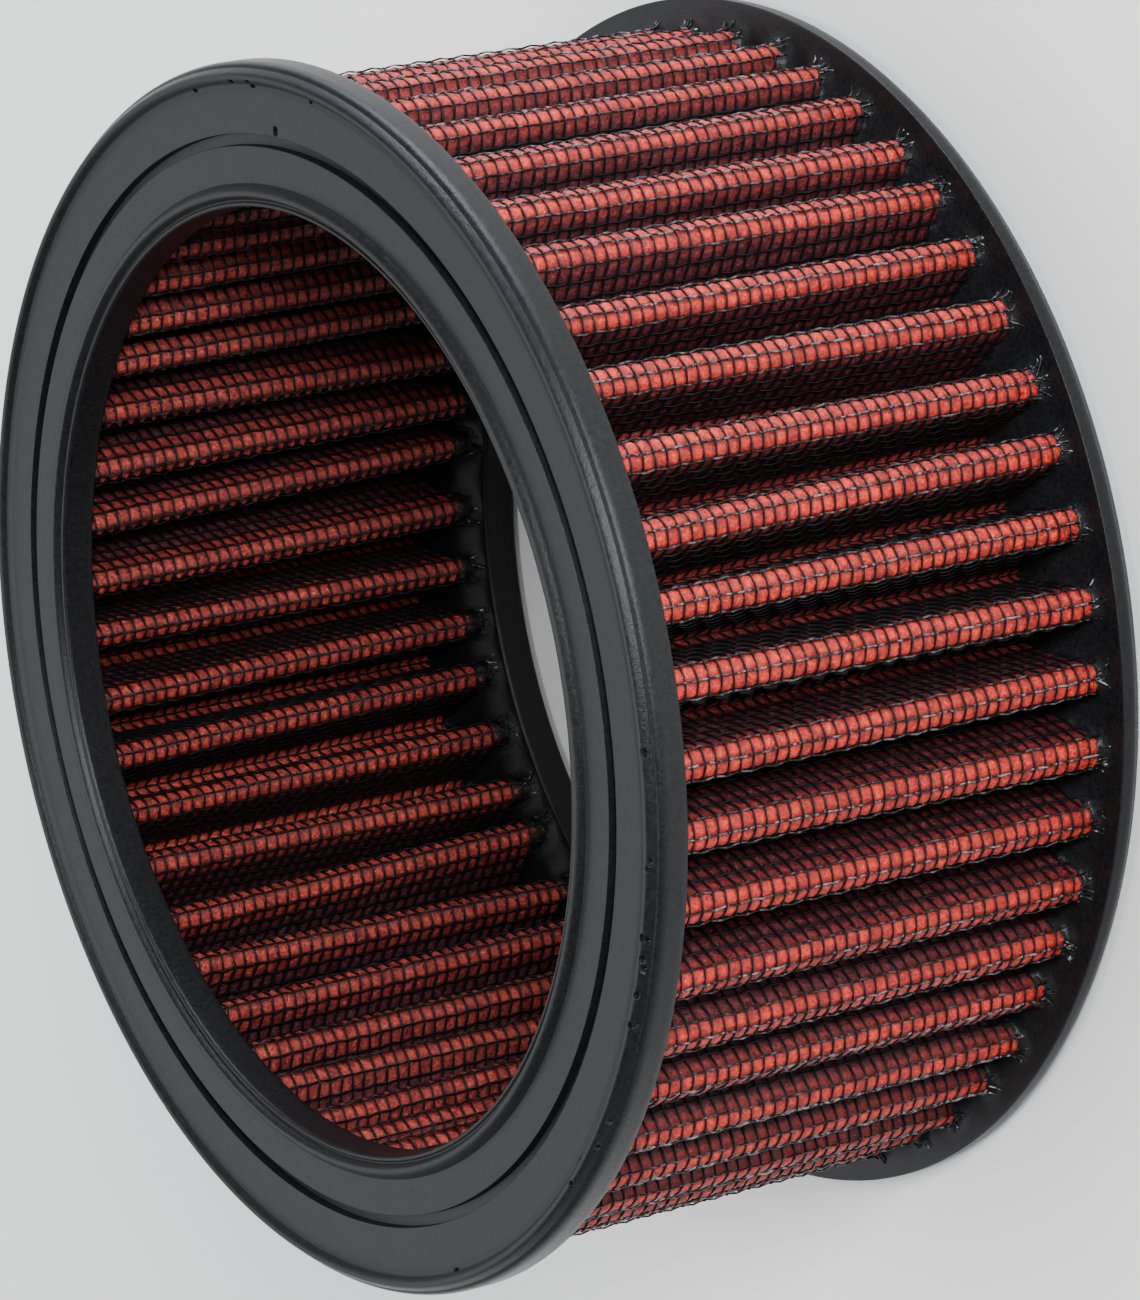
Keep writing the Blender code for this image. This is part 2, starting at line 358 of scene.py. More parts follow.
def hoop_wires(name, layer, rows, sides, steps, seed, face):
    """Hoops that follow the pleats and swing over and under the upright wires."""
    cell = np.arange(CELLS)[:, None]
    column = (cell + np.linspace(HOOP_CORNER, 1.0 - HOOP_CORNER, steps)).ravel()
    wires = []
    for row in rows:
        def height_at(place):
            return hoop_height(row, place, seed)

        point, outward, _, _ = straightened(layer, column, height_at, seed)
        nearest = np.round(column)
        swing = np.cos(math.pi * (nearest + row)) * (1.0 - 2.0 * np.abs(column - nearest))
        centre = point + outward * (face * WEAVE_HEIGHT * swing)[:, None]
        upward = np.zeros_like(centre)
        upward[:, 2] = 1.0
        wires.append(tube_rings(centre, outward, upward, WIRE_RADIUS, sides))
    points = np.stack(wires)
    quads = []
    per_wire = points.shape[1] * sides
    for index in range(len(wires)):
        tube = grid_quads(points.shape[1], sides, True, True, index * per_wire)
        quads.append(tube[:, ::-1])
    return mesh_object(name, points, [np.concatenate(quads)])


def upright_wires(name, layer, columns, sides, seed, face):
    """Wires along the axis that pass between the hoops, with how much painted highlight
    (light grey glints) each point gets: most at the folds that this face of the stack shows."""
    column = np.asarray(columns, dtype=float)[:, None]
    row = np.arange(-1, HOOPS + 1)[None, :]
    height = hoop_height(row, column, seed)
    height = np.clip(height, PACK_BOTTOM, PACK_TOP)
    lean = UPRIGHT_LEAN * slow_noise(column / CELLS + row * 0.013, (9, 31, 67), seed + 1)
    place = wire_place(column, seed) + lean / CELLS_PER_PLEAT
    point, outward, round_ring = layer.at(place, height)
    swing = -WEAVE_HEIGHT * np.cos(math.pi * (column + row))
    centre = point + outward * (face * swing)[..., None]
    points = tube_rings(centre, round_ring, outward, WIRE_RADIUS, sides)
    wires, stations = points.shape[:2]
    quads = []
    ends = []
    for index in range(wires):
        first = index * stations * sides
        quads.append(grid_quads(stations, sides, False, True, first)[:, ::-1])
        ends.append(first + np.arange(sides))
        ends.append(first + (stations - 1) * sides + np.arange(sides)[::-1])
    thing = mesh_object(name, points, [np.concatenate(quads), np.stack(ends)])
    # Painted highlight: a share of light grey glint for each point, strongest at the outer folds
    # on the outer screen and faint on the inner one
    fold, most = (0.0, 0.8) if face == OUTSIDE else (0.5, 0.12)
    away = np.abs(place - fold - np.round(place - fold))
    painted_glint = most * np.exp(-(away / GLINT_REACH) ** 2)
    values = np.zeros((wires, stations, sides, 3))
    values[..., 0] = np.broadcast_to(painted_glint, (wires, stations))[..., None]
    point_attribute(thing, "painted_glint", values)
    return thing


# ---------------------------------------------------------------- gauze

def cell_rise(share):
    """1 in the middle of a cell and 0 at its wires."""
    return 1.0 - np.abs(2 * share - 1) ** PUFF_SQUARENESS


def gauze_sheet(name, face, cells, cell_steps, seed):
    """A closed ply with a front of puffed cells and a plain back, and the length
    of its strip. cells is the range of cells that it covers, all the way round or
    a part of the ring."""
    across, up = cell_steps
    front = Layer(face * GAUZE_FRONT)
    back = Layer(face * GAUZE_BACK)
    whole = len(cells) == CELLS
    count = len(cells) * across + (0 if whole else 1)
    column = (cells[0] + np.arange(count) / across)[None, :]
    row = (np.arange(HOOPS * up + 1) / up - 0.5)[:, None]
    column, row = np.broadcast_arrays(column, row)

    def height_at(place):
        height = hoop_height(row, place, seed)
        height[0] = PACK_BOTTOM
        height[-1] = PACK_TOP
        return height

    height = height_at(column)
    place = wire_place(column, seed)
    point, outward, _, sag = straightened(front, column, height_at, seed)
    rise = cell_rise(np.mod(column, 1.0)) * cell_rise(np.mod(row, 1.0))
    random = np.random.default_rng(seed + 5)
    fullness = LEAST_FULLNESS + FULLNESS_RANGE * random.random((HOOPS + 2, CELLS))
    cell_row = np.clip(np.floor(row).astype(int) + 1, 0, HOOPS + 1)
    cell_column = np.floor(column).astype(int) % CELLS
    proud = GAUZE_PUFF * fullness[cell_row, cell_column] + np.clip(face * sag, 0.0, None)
    point = point + outward * (face * (proud * rise))[..., None]
    back_height = np.stack([height[0], height[-1]])
    back_point, _, _ = back.at(place[:2], back_height)
    rows = len(row)
    behind = rows * count
    here = np.arange(count if whole else count - 1)
    ahead = (here + 1) % count
    top = (rows - 1) * count
    quads = [
        grid_quads(rows, count, False, whole),
        grid_quads(2, count, False, whole, behind)[:, ::-1],
        np.stack([ahead, here, behind + here, behind + ahead], axis=-1),
        np.stack([
            top + here, top + ahead, behind + count + ahead, behind + count + here,
        ], axis=-1),
    ]
    groups = [np.concatenate(quads)]
    if not whole:
        upward = np.arange(rows) * count
        near = np.append(upward, [behind + count, behind])
        far = np.append(upward + count - 1, [behind + 2 * count - 1, behind + count - 1])
        groups.append(np.stack([near, far[::-1]]))
    if face == INSIDE:
        groups = [group[:, ::-1] for group in groups]
    points = np.concatenate([point.reshape(-1, 3), back_point.reshape(-1, 3)])
    sheet = mesh_object(name, points, groups)
    fold = 2.0 * np.abs(place - np.round(place))
    values = np.stack([fold, column, row], axis=-1).reshape(-1, 3)
    point_attribute(sheet, "cloth", np.concatenate([values, np.zeros((2 * count, 3))]))
    return sheet, front.length * len(cells) / CELLS


def plain_sheet(name, front_depth, back_depth):
    """A closed ply in the middle of the stack, with smooth faces, and the length
    of its strip."""
    per_pleat = 40
    place = np.arange(PLEATS * per_pleat)[None, :] / per_pleat
    height = np.array([PACK_BOTTOM, PACK_TOP])[:, None]
    front_layer = Layer(front_depth)
    front, _, _ = front_layer.at(place, height)
    back, _, _ = Layer(back_depth).at(place, height)
    edges = np.stack([front[0], front[1], back[1], back[0]])
    quads = grid_quads(4, PLEATS * per_pleat, True, True)
    return mesh_object(name, edges, [quads]), front_layer.length


# ---------------------------------------------------------------- end caps

LAND_DROP = 0.9 * MM             # the lands lie this far under the bead crests
BORE_RADIUS = 56.15 * MM
GROOVE_IN = 63.3 * MM
GROOVE_OUT = 64.7 * MM
GROOVE_DEPTH = 1.2 * MM
OUTER_BEAD = 71.3 * MM
INNER_BEAD = 58.0 * MM
POTTING_OUT = 70.3 * MM          # the potting starts to climb inside this radius
POTTING_IN = 56.3 * MM           # and outside this one
MENISCUS_REACH = 0.45 * MM

# Heights of the potting over a cap's land: at the rim, in the outer valleys, at the
# bore and in the inner valleys, and how much further it climbs against the pleats
Potting = namedtuple("Potting", "rim valley bore inside climb")
FRONT_POTTING = Potting(3.8 * MM, 4.6 * MM, 3.9 * MM, 4.6 * MM, 0.5 * MM)
REAR_POTTING = Potting(2.4 * MM, 4.2 * MM, 4.2 * MM, 6.2 * MM, 0.7 * MM)


def arc_points(centre, size, first, last, steps):
    """Points on an elliptical arc, angles in degrees."""
    angle = np.radians(np.linspace(first, last, steps + 1))
    x = centre[0] + size[0] * np.cos(angle)
    y = centre[1] + size[1] * np.sin(angle)
    return list(zip(x, y))


def bead_slope(crest, foot, high, low, steps):
    """From a bead's rounded crest down to a crisp foot, crest first."""
    share = np.linspace(0.0, 1.0, steps + 1)
    x = crest + (foot - crest) * share
    y = low + (high - low) * np.cos(math.pi * share / 2)
    return list(zip(x, y))


def straight(start, end, steps):
    """The points between two ends, without the ends."""
    share = np.linspace(0.0, 1.0, steps + 1)[1:-1]
    x = start[0] + (end[0] - start[0]) * share
    y = start[1] + (end[1] - start[1]) * share
    return list(zip(x, y))


def seal_face():
    """Cap outline from the bore over the sealing face to the rim, as radius and
    height over the land."""
    rim = OUTER_RADIUS
    edge = 0.09 * MM
    lip = (0.38 * MM, 0.58 * MM)
    outline = arc_points((BORE_RADIUS + lip[0], -0.30 * MM), lip, 180, 40, 9)
    outline += [(INNER_BEAD - 1.05 * MM, 0.02 * MM), (INNER_BEAD - 1.00 * MM, 0.04 * MM)]
    inner_slope = bead_slope(
        INNER_BEAD - 0.30 * MM, INNER_BEAD - 0.94 * MM, LAND_DROP, 0.1 * MM, 6)
    outline += inner_slope[::-1]
    outline += bead_slope(INNER_BEAD - 0.20 * MM, INNER_BEAD + 0.95 * MM, LAND_DROP, 0.0, 9)
    outline += [(INNER_BEAD + 0.99 * MM, -0.02 * MM), (INNER_BEAD + 1.05 * MM, 0.0)]
    outline += straight(outline[-1], (GROOVE_IN - edge, 0.0), 4)
    outline += arc_points((GROOVE_IN - edge, -edge), (edge, edge), 90, 5, 3)
    outline += arc_points((GROOVE_IN + edge, edge - GROOVE_DEPTH), (edge, edge), 185, 270, 3)
    outline += arc_points((GROOVE_OUT - edge, edge - GROOVE_DEPTH), (edge, edge), 270, 355, 3)
    outline += arc_points((GROOVE_OUT + edge, -edge), (edge, edge), 175, 90, 3)
    outline += straight(outline[-1], (OUTER_BEAD - 1.33 * MM, 0.0), 4)
    # How far inside the outer bead's crest, and how high over the land, in mm
    fine_ridge = [
        (1.33, 0.0), (1.28, 0.05), (1.18, 0.07), (1.10, 0.02), (1.04, 0.02), (0.96, 0.09),
    ]
    outline += [(OUTER_BEAD - back * MM, up * MM) for back, up in fine_ridge]
    outline += bead_slope(OUTER_BEAD, OUTER_BEAD - 0.86 * MM, LAND_DROP, 0.12 * MM, 8)[::-1]
    outline += bead_slope(OUTER_BEAD + 0.1 * MM, rim - 0.74 * MM, LAND_DROP, 0.0, 8)
    outline += [(rim - 0.71 * MM, -0.06 * MM), (rim - 0.66 * MM, -0.10 * MM)]
    outline += arc_points((rim - 0.72 * MM, -1.5 * MM), (0.72 * MM, 1.36 * MM), 80, 0, 10)
    return outline


def distance_to_pack(points, end):
    """Distance from the stack's middle, and its sign: plus outside the pleats."""
    path, _, _ = rounded_path(offset_corners(fold_corners(end), 0.0), 0.0)
    per_pleat = len(path) // PLEATS
    pleat_paths = path.reshape(PLEATS, per_pleat, 2)
    angle = np.mod(np.arctan2(points[:, 1], points[:, 0]), math.tau)
    number = np.floor(angle / (math.tau / PLEATS)).astype(int) % PLEATS
    distance = np.empty(len(points))
    sign = np.empty(len(points))
    for pleat in range(PLEATS):
        chosen = np.nonzero(number == pleat)[0]
        if not len(chosen):
            continue
        near = [pleat_paths[(pleat + shift) % PLEATS] for shift in (-2, -1, 0, 1, 2)]
        line = np.concatenate(near)
        start = line[:-1]
        step = line[1:] - start
        offset = points[chosen][:, None] - start
        share = np.clip((offset * step).sum(-1) / (step * step).sum(-1), 0.0, 1.0)
        gap = offset - step * share[..., None]
        size = np.linalg.norm(gap, axis=-1)
        best = size.argmin(axis=1)
        rows = np.arange(len(chosen))
        distance[chosen] = size[rows, best]
        outward = np.stack([step[best][:, 1], -step[best][:, 0]], axis=-1)
        sign[chosen] = np.sign((gap[rows, best] * outward).sum(-1))
    return distance, sign


def smooth_share(value):
    """A smooth step from 0 at 0 to 1 at 1."""
    value = np.clip(value, 0.0, 1.0)
    return value * value * (3.0 - 2.0 * value)


def potted_height(radius, angle, levels, end):
    """Height of the potting over the cap's land, between and round the pleats."""
    points = np.stack([radius * np.cos(angle), radius * np.sin(angle)], axis=-1)
    shape = radius.shape
    distance, sign = distance_to_pack(points.reshape(-1, 2), end)
    distance = distance.reshape(shape)
    sign = sign.reshape(shape)
    rim, valley, bore, inside, climb = levels
    turn = angle / math.tau
    uneven = 0.25 * MM * slow_noise(turn, (17, 43, 71, 101), SEED + 3)
    # Each slope is divided by the width that it takes to climb
    outer = rim + (valley - rim) * smooth_share((POTTING_OUT - radius) / (8.5 * MM))
    outer = outer + uneven * smooth_share((POTTING_OUT - radius) / (3.0 * MM))
    inner = bore + (inside - bore) * smooth_share((radius - POTTING_IN) / (5.0 * MM))
    inner = inner + uneven * smooth_share((radius - 57.0 * MM) / (3.0 * MM))
    gap = np.clip(distance - STACK_HALF + 0.3 * MM, 0.0, None)
    meniscus = climb * np.exp(-gap / MENISCUS_REACH)
    edge = smooth_share((radius - POTTING_IN) / (0.8 * MM))
    return np.where(sign > 0, outer, inner) + meniscus * edge


def moulded_cap(name, land, direction, levels, segments, potted_rows, end):
    """A closed ring: turned sealing face and rim, and a potted face that climbs
    round the pleats. direction is +1 where the sealing face looks up, and end is +1
    at the pack's top."""
    bore_edge = (BORE_RADIUS, -levels.bore)
    outline = [bore_edge] + straight(bore_edge, (BORE_RADIUS, -0.3 * MM), 6) + seal_face()
    rim_edge = (OUTER_RADIUS, -levels.rim + 0.12 * MM)
    outline += straight(outline[-1], rim_edge, 3) + [rim_edge]
    outline.append((OUTER_RADIUS - 0.04 * MM, -levels.rim + 0.03 * MM))
    outline.append((OUTER_RADIUS - 0.14 * MM, -levels.rim))
    outline = np.array(outline)
    angle = math.tau * np.arange(segments) / segments
    face_radius = np.repeat(outline[:, 0:1], segments, axis=1)
    face_height = np.repeat(outline[:, 1:2], segments, axis=1)
    edge = 0.35 * MM
    potted = np.linspace(OUTER_RADIUS - edge, BORE_RADIUS + edge / 2, potted_rows)
    radius, turn = np.meshgrid(potted, angle, indexing="ij")
    height = -potted_height(radius, turn, levels, end)
    all_radius = np.concatenate([face_radius, radius])
    all_height = land + direction * np.concatenate([face_height, height])
    x = all_radius * np.cos(angle)
    y = all_radius * np.sin(angle)
    points = np.stack([x, y, all_height], axis=-1)
    quads = grid_quads(len(all_radius), segments, True, True)
    if direction > 0:
        quads = quads[:, ::-1]
    return mesh_object(name, points, [quads])


def pit_cutter(name, angle, radius, height, size):
    """An ellipsoid for cut_pits, its size given outward, round the ring and up."""
    bpy.ops.mesh.primitive_uv_sphere_add(segments=12, ring_count=8, radius=1.0)
    pit = bpy.context.object
    pit.name = name
    place = Matrix.Translation((radius * math.cos(angle), radius * math.sin(angle), height))
    spin = Matrix.Rotation(angle, 4, "Z")
    scale = Matrix.Diagonal((size[0], size[1], size[2], 1.0))
    pit.data.transform(place @ spin @ scale)
    return pit


def cut_pits(cap, pits):
    """Small air bubbles that opened at the moulded surface."""
    bpy.ops.object.select_all(action="DESELECT")
    for pit in pits:
        pit.select_set(True)
    bpy.context.view_layer.objects.active = pits[0]
    bpy.ops.object.join()
    cutter = bpy.context.object
    boolean = cap.modifiers.new("pits", "BOOLEAN")
    boolean.operation = "DIFFERENCE"
    boolean.solver = "MANIFOLD"
    boolean.object = cutter
    bpy.context.view_layer.objects.active = cap
    bpy.ops.object.modifier_apply(modifier=boolean.name)
    bpy.data.objects.remove(cutter, do_unlink=True)


def bubble_pits(land):
    """Bubbles along the outer bead: a thick crowd outside its crest on one side,
    and a few along its inner slope. One larger bubble lies on the land."""
    random = np.random.default_rng(SEED + 20)
    # Angles in degrees: the crowd, a smaller cluster, and a few anywhere
    crowd = random.normal(loc=228, scale=17, size=15)
    cluster = random.normal(loc=352, scale=9, size=5)
    others = np.concatenate([cluster, random.uniform(0, 360, size=4)])
    pits = []
    for index, angle in enumerate(np.radians(np.concatenate([crowd, others]))):
        size = (0.17 + 0.17 * random.random()) * MM
        slope, side = (1.3 * MM, 0.75) if index < len(crowd) else (0.9 * MM, -1.0)
        from_crest = (0.25 + 0.85 * random.random()) * side * MM
        radius = OUTER_BEAD + from_crest
        lean = min(abs(from_crest) / slope, 1.0)
        height = land + LAND_DROP * math.cos(lean * math.pi / 2)
        stretch = 1.0 + 1.0 * random.random()
        pits.append(pit_cutter(f"pit_{index}", angle, radius, height,
                               (size, size * stretch, 3.0 * size)))
    pits.append(pit_cutter("pit_land", math.radians(343), GROOVE_OUT + 0.75 * MM, land,
                           (0.58 * MM, 0.50 * MM, 1.1 * MM)))
    return pits


# ---------------------------------------------------------------- seam clip

CLIP_OUTER_DEPTH = 1.30 * MM
CLIP_INNER_DEPTH = 0.90 * MM
CLIP_REACH = 0.235               # how far it wraps each way from the fold, in pleats
CRIMP_PITCH = 6.0 * MM
CRIMP_DEPTH = 0.22 * MM


def seam_clip(name):
    """A strip folded over the clip's pleat, with crimps down both legs."""
    low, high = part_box("seam_clip")
    columns = 48
    rows = 150
    place = CLIP_PLEAT + np.linspace(-CLIP_REACH, CLIP_REACH, columns)[None, :]
    height = np.linspace(low[2], high[2], rows)[:, None]
    place, height = np.broadcast_arrays(place, height)
    faces = []
    for depth in (CLIP_OUTER_DEPTH, CLIP_INNER_DEPTH):
        point, outward, _ = Layer(depth).at(place, height)
        from_fold = np.abs(place - CLIP_PLEAT) / CLIP_REACH
        leg = smooth_share((from_fold - 0.55) / 0.12) * smooth_share((0.93 - from_fold) / 0.12)
        wave = np.mod((height - low[2]) / CRIMP_PITCH + 0.5, 1.0)
        dimple = leg * np.exp(-((wave - 0.5) / 0.13) ** 2)
        faces.append(point - outward * (CRIMP_DEPTH * dimple)[..., None])
    per_face = rows * columns
    quads = [grid_quads(rows, columns), grid_quads(rows, columns, first=per_face)[:, ::-1]]
    row = np.arange(rows)
    column = np.arange(columns)
    border = np.concatenate([
        column, row[1:] * columns + columns - 1,
        (rows - 1) * columns + column[::-1][1:], row[::-1][1:-1] * columns,
    ])
    following = np.roll(border, -1)
    quads.append(np.stack([
        following, border, border + per_face, following + per_face,
    ], axis=-1))
    return mesh_object(name, np.stack(faces), [np.concatenate(quads)])


# ---------------------------------------------------------------- wire ends

END_SPREAD = 0.055               # scatter of the ends along the screen, in pleats
END_DRIFT = 0.55                 # and of their tips to either side, in mm


def wire_ends(name, face, count, fold, flange_height, reach):
    """Cut ends of the screen that splay over the rear cap beside each fold: count
    of them at each pleat, reaching at most reach out from it. fold is 0 at the
    outer folds and 0.5 at the inner ones."""
    random = np.random.default_rng(SEED + (40 if face == OUTSIDE else 50))
    layer = Layer(face * (SCREEN_DEPTH + 0.1 * MM))
    stations = 6
    sides = 5
    tubes = []
    for pleat in range(PLEATS):
        for _ in range(count):
            spread = random.normal(0.0, END_SPREAD)
            place = np.array([pleat + fold + spread])
            start_height = flange_height + (0.5 + 1.0 * random.random()) * MM
            point, outward, along = layer.at(place, np.array([start_height]))
            out = reach * (0.25 + 0.75 * random.random())
            drift = random.normal(0.0, END_DRIFT) * MM
            lift = 0.02 * MM + 0.16 * MM * random.random()
            share = np.linspace(0.0, 1.0, stations)[:, None]
            bend = smooth_share(share)
            fall = (start_height - flange_height - lift) * np.sin(share * math.pi / 2)
            centre = point + outward * (face * out * bend) + along * (drift * share)
            centre = centre - np.array([[0.0, 0.0, 1.0]]) * fall
            direction = unit(np.gradient(centre, axis=0))
            side_a = unit(np.cross(direction, along))
            side_b = np.cross(direction, side_a)
            radius = WIRE_RADIUS * (0.75 + 0.25 * random.random())
            tubes.append(tube_rings(centre, side_a, side_b, radius, sides))
    points = np.stack(tubes)
    quads = []
    ends = []
    for index in range(len(tubes)):
        first = index * stations * sides
        quads.append(grid_quads(stations, sides, False, True, first))
        ends.append(first + np.arange(sides)[::-1])
        ends.append(first + (stations - 1) * sides + np.arange(sides))
    return mesh_object(name, points, [np.concatenate(quads), np.stack(ends)])


# ---------------------------------------------------------------- materials

WICK_RAGGEDNESS = 2.4 * MM       # unevenness of the line up to which the potting wicked
WICK_BLUR = 0.35 * MM


def grey(level):
    return (level, level, level)


WHITE = grey(1.0)


class Nodes:
    """A short way to build a material's node tree."""

    def __init__(self, name):
        self.material = bpy.data.materials.new(name)
        self.material.use_nodes = True
        self.tree = self.material.node_tree
        self.shader = self.tree.nodes["Principled BSDF"]
        coordinates = self.tree.nodes.new("ShaderNodeTexCoord")
        self.object_place = coordinates.outputs["Object"]

    def set(self, **values):
        """Set the shader's inputs to numbers or to other nodes' outputs."""
        for name, value in values.items():
            self.fill(self.shader.inputs[name.replace("_", " ")], value)

    def link(self, output, socket):
        self.tree.links.new(output, socket)

    def noise(self, scale, detail=3.0, roughness=0.55, place=None):
        node = self.tree.nodes.new("ShaderNodeTexNoise")
        node.inputs["Scale"].default_value = scale
        node.inputs["Detail"].default_value = detail
        node.inputs["Roughness"].default_value = roughness
        self.link(place or self.object_place, node.inputs["Vector"])
        return node.outputs["Fac"]

    def ramp(self, value, stops):
        node = self.tree.nodes.new("ShaderNodeValToRGB")
        ramp = node.color_ramp
        while len(ramp.elements) < len(stops):
            ramp.elements.new(0.5)
        for element, (position, colour) in zip(ramp.elements, stops):
            element.position = position
            element.color = (*colour, 1.0)
        self.link(value, node.inputs["Fac"])
        return node.outputs["Color"]

    def math(self, operation, first, second, clamp=False):
        node = self.tree.nodes.new("ShaderNodeMath")
        node.operation = operation
        node.use_clamp = clamp
        for socket, value in zip(node.inputs, (first, second)):
            self.fill(socket, value)
        return node.outputs[0]

    def mix(self, share, first, second, kind="MIX"):
        node = self.tree.nodes.new("ShaderNodeMix")
        node.data_type = "RGBA"
        node.blend_type = kind
        colours = {"A": first, "B": second}
        for socket in node.inputs:
            if socket.type == "VALUE" and socket.name == "Factor" and socket.enabled:
                self.fill(socket, share)
            if socket.type == "RGBA" and socket.name in colours:
                self.fill(socket, colours[socket.name])
        return [output for output in node.outputs if output.type == "RGBA"][0]

    def fill(self, socket, value):
        """Put a number, a colour or another node's output in a socket."""
        if isinstance(value, (int, float)):
            socket.default_value = value
        elif isinstance(value, tuple):
            socket.default_value = (*value, 1.0)
        else:
            self.link(value, socket)

    def attribute(self, name):
        node = self.tree.nodes.new("ShaderNodeAttribute")
        node.attribute_name = name
        return node.outputs["Vector"]

    def split(self, vector):
        node = self.tree.nodes.new("ShaderNodeSeparateXYZ")
        self.link(vector, node.inputs[0])
        return node.outputs

    def bump(self, height, strength, distance, under=None):
        node = self.tree.nodes.new("ShaderNodeBump")
        node.inputs["Strength"].default_value = strength
        node.inputs["Distance"].default_value = distance
        self.link(height, node.inputs["Height"])
        if under is not None:
            self.link(under, node.inputs["Normal"])
        return node.outputs["Normal"]


def gauze_material(name, wick_fold, wick_valley, shade_beside_wire, pleat_shade, shade_tone):
    """Red oiled cotton: fibre grain, blotches, and a red that darkens beside the wires
    (partly oil, partly painted shade) and deeper in the pleats (painted shade, lifted
    again at the valley floors as painted light). A multiplier paints shade over a whole
    sheet where it is not white. Potting has wicked up to one height at the outer folds
    and to another in the valleys."""
    nodes = Nodes(name)
    grain = nodes.noise(2300.0, 4.0, 0.8)
    red = nodes.ramp(grain, [
        (0.34, (0.24, 0.004, 0.003)), (0.47, (0.50, 0.016, 0.006)),
        (0.60, (0.78, 0.042, 0.012)), (0.72, (0.95, 0.20, 0.08)),
    ])
    blotch = nodes.ramp(nodes.noise(560.0, 3.0), [(0.34, (0.48, 0.40, 0.46)), (0.62, WHITE)])
    broad = nodes.ramp(nodes.noise(95.0, 2.0), [(0.35, (0.86, 0.80, 0.90)), (0.65, WHITE)])
    fold, column, row = nodes.split(nodes.attribute("cloth"))
    away = []
    for count in (column, row):
        middle = nodes.math("SUBTRACT", nodes.math("FRACT", count, 0.0), 0.5)
        away.append(nodes.math("SUBTRACT", 0.5, nodes.math("ABSOLUTE", middle, 0.0)))
    beside = nodes.math("MINIMUM", away[0], away[1])
    # Partly oil and partly painted shade: the red darkens towards the wires round each cell
    oil = nodes.ramp(beside, [(0.04, shade_beside_wire), (0.30, WHITE)])
    # Painted shade down the pleat walls with painted light at the valley floors, and a painted
    # shade multiplier over the whole sheet
    for layer in (shade_tone, blotch, broad, nodes.ramp(fold, pleat_shade), oil):
        red = nodes.mix(1.0, red, layer, "MULTIPLY")
    height = nodes.split(nodes.object_place)[2]
    rise = nodes.math("MULTIPLY", fold, wick_valley - wick_fold)
    level = nodes.math("ADD", rise, wick_fold)
    uneven = nodes.math("SUBTRACT", nodes.noise(900.0, 3.0), 0.5)
    ragged = nodes.math("MULTIPLY", uneven, WICK_RAGGEDNESS)
    over = nodes.math("SUBTRACT", height, nodes.math("ADD", level, ragged))
    dry = nodes.math("MULTIPLY", over, 1.0 / WICK_BLUR, clamp=True)
    fibres = nodes.bump(grain, 0.85, 0.00022)
    nodes.set(
        Base_Color=nodes.mix(dry, (0.004, 0.004, 0.005), red),
        Roughness=nodes.ramp(nodes.noise(1900.0, 2.0), [(0.54, grey(0.52)), (0.64, grey(0.13))]),
        Normal=nodes.bump(nodes.noise(1500.0, 2.0), 0.35, 0.0003, fibres),
        Specular_IOR_Level=0.42,
    )
    return nodes.material


def wire_material(name, gloss):
    """Black coated wire, with light grey specks painted on as highlights (glints) where a
    point attribute asks for them. gloss is its lowest roughness."""
    nodes = Nodes(name)
    painted_glint = nodes.split(nodes.attribute("painted_glint"))[0]
    patch = nodes.math("SUBTRACT", nodes.noise(1300.0, 3.0), 0.47)
    speck = nodes.math("MULTIPLY", patch, 5.0, clamp=True)
    # Painted highlight: light grey specks where the glint share is high
    bare = nodes.math("MULTIPLY", speck, painted_glint)
    nodes.set(
        Base_Color=nodes.mix(bare, (0.0035, 0.0035, 0.004), (0.25, 0.24, 0.27)),
        Roughness=nodes.math("ADD", nodes.math("MULTIPLY", nodes.noise(2600.0), 0.25), gloss),
        Normal=nodes.bump(nodes.noise(3800.0), 0.25, 0.00005),
        Specular_IOR_Level=0.2,
    )
    return nodes.material


def wire_end_material(name):
    """Wire ends coated with potting, with light grey specks that are partly bare metal and
    partly painted glints.
    """
    nodes = Nodes(name)
    # Partly painted highlight: the light grey specks stand partly for bare cut metal and partly
    # for glints
    colour = nodes.ramp(nodes.noise(1300.0, 3.0), [
        (0.50, (0.004, 0.004, 0.005)), (0.58, (0.04, 0.04, 0.042)), (0.70, (0.30, 0.30, 0.31)),
    ])
    nodes.set(
        Base_Color=colour,
        Roughness=0.38,
        Normal=nodes.bump(nodes.noise(3000.0), 0.4, 0.00008),
        Specular_IOR_Level=0.25,
    )
    return nodes.material


def cap_material(name):
    """Satin black urethane with a fine moulded grain."""
    nodes = Nodes(name)
    grain = nodes.noise(2000.0, 4.0, 0.8)
    colour = nodes.ramp(grain, [
        (0.36, (0.0036, 0.0036, 0.0040)), (0.66, (0.0105, 0.0107, 0.0116)),
    ])
    nodes.set(
        Base_Color=colour,
        Roughness=nodes.math("ADD", nodes.math("MULTIPLY", grain, 0.24), 0.24),
        Normal=nodes.bump(grain, 0.80, 0.00008),
        Specular_IOR_Level=0.20,
    )
    return nodes.material


def clip_material(name):
    """Plain steel strip, drawn lengthwise, with oil stains."""
    nodes = Nodes(name)
    stretch = nodes.tree.nodes.new("ShaderNodeMapping")
    stretch.inputs["Scale"].default_value = (1.0, 1.0, 0.03)
    nodes.link(nodes.object_place, stretch.inputs["Vector"])
    drawn = nodes.noise(5200.0, 3.0, 0.6, stretch.outputs["Vector"])
    stain = [(0.35, (0.34, 0.30, 0.29)), (0.60, (0.58, 0.58, 0.59))]
    nodes.set(
        Base_Color=nodes.ramp(nodes.noise(210.0, 3.0), stain),
        Metallic=1.0,
        Roughness=nodes.math("ADD", nodes.math("MULTIPLY", drawn, 0.30), 0.20),
        Normal=nodes.bump(drawn, 0.30, 0.00006),
    )
    return nodes.material


# ---------------------------------------------------------------- build

def split_ranges(total, parts):
    """The range up to total, cut into nearly equal ranges."""
    edges = np.linspace(0, total, parts + 1).astype(int)
    return [range(start, end) for start, end in zip(edges[:-1], edges[1:])]


